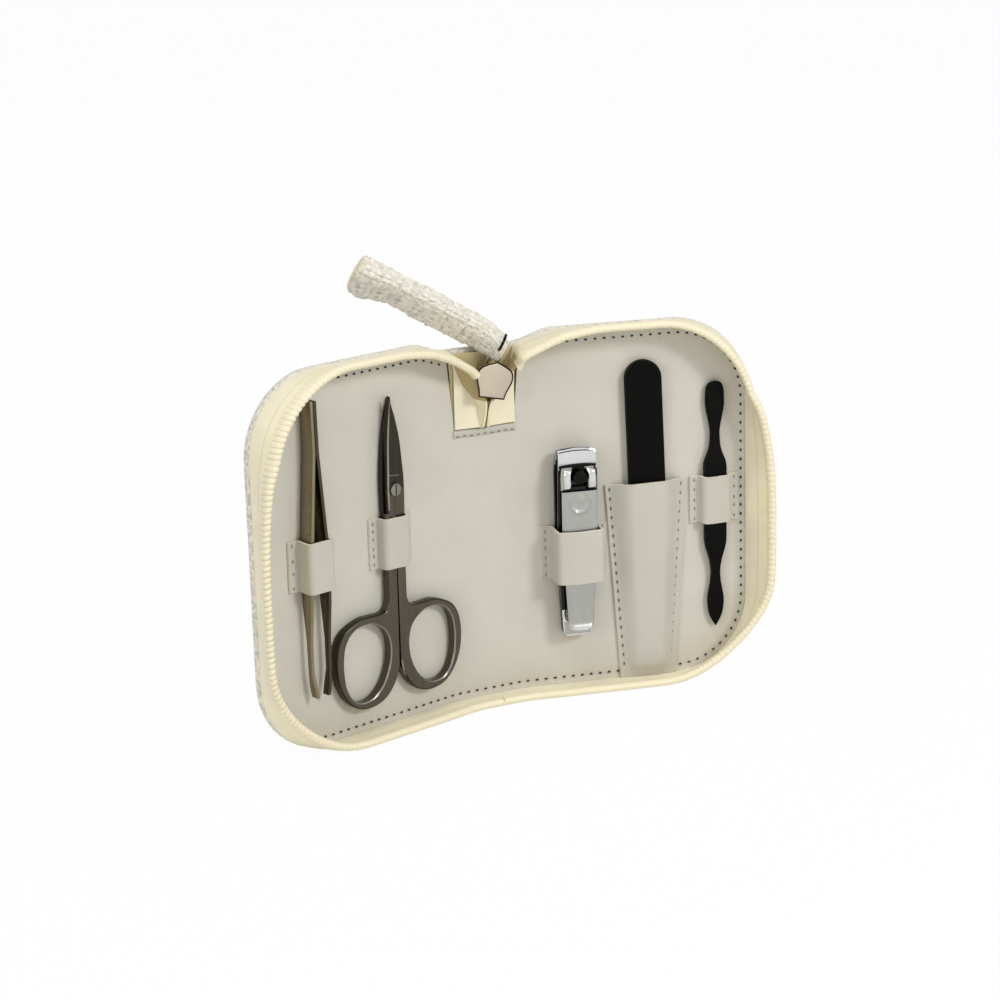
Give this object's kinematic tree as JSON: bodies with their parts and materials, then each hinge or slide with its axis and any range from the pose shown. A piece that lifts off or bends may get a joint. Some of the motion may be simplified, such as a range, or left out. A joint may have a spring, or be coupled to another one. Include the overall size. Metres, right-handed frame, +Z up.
{
  "type": "manicure set case",
  "caption": "Zip-round travel case that opens like a book, with manicure tools held by sewn loops and a pocket, and a woven zip pull.",
  "frame": {"origin": "on the floor, in the middle of the spine cover's bottom edge", "axes": "+X along the open case to the right half, -Y to the viewer and out of the tray, +Z up along the folds"},
  "size_m": [0.172, 0.0466, 0.1406],
  "materials": {
    "woven_cover": "woven, matte",
    "lining": "fine grain, matte",
    "board": "matte",
    "padding": "soft, matte",
    "zip_tape": "woven, matte",
    "garage_tape": "woven, matte",
    "zip_teeth": "satin",
    "silver": "polished",
    "gunmetal": "dark, polished",
    "tweezer_steel": "satin",
    "screw": "polished",
    "clipper_chrome": "polished",
    "file_handle": "matte",
    "file_blade": "etched",
    "pusher_black": "satin",
    "woven_pull": "basket weave, matte"
  },
  "bodies": {
    "spine": {"spine_cover": "woven_cover", "spine_padding": "padding", "spine_lining": "lining", "zip_garage": "garage_tape", "zip_tail_left": "zip_tape", "zip_tail_right": "zip_tape", "zip_chain": "zip_teeth", "slider_body": "silver", "gusset_top_left": "zip_tape", "gusset_top_right": "zip_tape", "gusset_bottom_left": "zip_tape", "gusset_bottom_right": "zip_tape"},
    "left_half": {"cover_left": "woven_cover", "board_left": "board", "lining_left": "lining", "zip_tape_left": "zip_tape", "zip_teeth_left": "zip_teeth", "tweezers_strap": "lining", "scissors_strap": "lining"},
    "right_half": {"cover_right": "woven_cover", "board_right": "board", "lining_right": "lining", "zip_tape_right": "zip_tape", "zip_teeth_right": "zip_teeth", "clipper_strap": "lining", "file_pocket": "lining", "pusher_strap": "lining"},
    "tweezers": {"tweezers_arm_left": "tweezer_steel"},
    "tweezers_arm": {"tweezers_arm_right": "tweezer_steel"},
    "scissors": {"scissors_blade_back": "gunmetal"},
    "scissors_front": {"scissors_blade_front": "gunmetal", "scissors_screw": "screw"},
    "clipper": {"clipper_lower_jaw": "clipper_chrome", "clipper_rivet": "clipper_chrome"},
    "upper_jaw": {"clipper_upper_jaw": "clipper_chrome"},
    "clipper_pin": {"clipper_pin": "clipper_chrome"},
    "lever": {"clipper_lever": "clipper_chrome"},
    "nail_file": {"file_handle": "file_handle", "file_blade": "file_blade"},
    "pusher": {"cuticle_pusher": "pusher_black"},
    "link": {"puller_link": "silver"},
    "pull": {"pull_clamp": "silver", "pull_strap": "woven_pull"}
  },
  "joints": [
    {"name": "left_fold", "type": "hinge", "parent": "spine", "child": "left_half", "pos_m": [-0.01135, -0.0016, 0], "axis": [0, 0, 1], "range_deg": [-15, 75], "deforming": ["gusset_top_left", "gusset_bottom_left"]},
    {"name": "right_fold", "type": "hinge", "parent": "spine", "child": "right_half", "pos_m": [0.01135, -0.0016, 0], "axis": [0, 0, -1], "range_deg": [-12.8, 77.2], "deforming": ["gusset_top_right", "gusset_bottom_right"]},
    {"name": "tweezers_slide", "type": "slide", "parent": "left_half", "child": "tweezers", "axis": [0, 0, 1], "range_m": [-0.011, 0.003]},
    {"name": "tweezers_squeeze", "type": "hinge", "parent": "tweezers", "child": "tweezers_arm", "pos_m": [-0.06367, -0.01883, 0.0974], "axis": [-0.2588, 0.9659, 0], "range_deg": [0, 0.5], "stiffness_Nm_per_rad": 0.5},
    {"name": "scissors_slide", "type": "slide", "parent": "left_half", "child": "scissors", "axis": [0, 0, 1], "range_m": [-0.0055, 0.0045]},
    {"name": "scissors_pivot", "type": "hinge", "parent": "scissors", "child": "scissors_front", "pos_m": [-0.03479, -0.00995, 0.0742], "axis": [-0.2588, 0.9659, 0], "range_deg": [0, 1]},
    {"name": "clipper_slide", "type": "slide", "parent": "right_half", "child": "clipper", "axis": [0, 0, 1], "range_m": [-0.014, 0.03]},
    {"name": "jaw_squeeze", "type": "hinge", "parent": "clipper", "child": "upper_jaw", "pos_m": [0.02783, -0.0076, 0.0264], "axis": [-0.9751, 0.2215, 0], "range_deg": [0, 1], "stiffness_Nm_per_rad": 0.5},
    {"name": "lever_swing", "type": "hinge", "parent": "clipper", "child": "clipper_pin", "pos_m": [0.02721, -0.01033, 0.0696], "axis": [-0.2215, -0.9751, 0], "range_deg": [-2, 2]},
    {"name": "lever_lift", "type": "hinge", "parent": "clipper_pin", "child": "lever", "pos_m": [0.0265, -0.01345, 0.0696], "axis": [-0.9751, 0.2215, 0], "range_deg": [-2, 0.6]},
    {"name": "file_slide", "type": "slide", "parent": "right_half", "child": "nail_file", "axis": [-0.0272, 0.0062, 0.9996], "range_m": [-0.002, 0.009]},
    {"name": "pusher_slide", "type": "slide", "parent": "right_half", "child": "pusher", "axis": [0, 0, 1], "range_m": [-0.006, 0.009]},
    {"name": "link_tilt", "type": "hinge", "parent": "spine", "child": "link", "pos_m": [0.00169, -0.0037, 0.10413], "axis": [0.9744, 0, -0.225], "range_deg": [0, 6]},
    {"name": "pull_swing", "type": "hinge", "parent": "link", "child": "pull", "pos_m": [0.00365, -0.00776, 0.11261], "axis": [0.5389, 0.8015, 0.2592], "range_deg": [0, 50]}
  ]
}
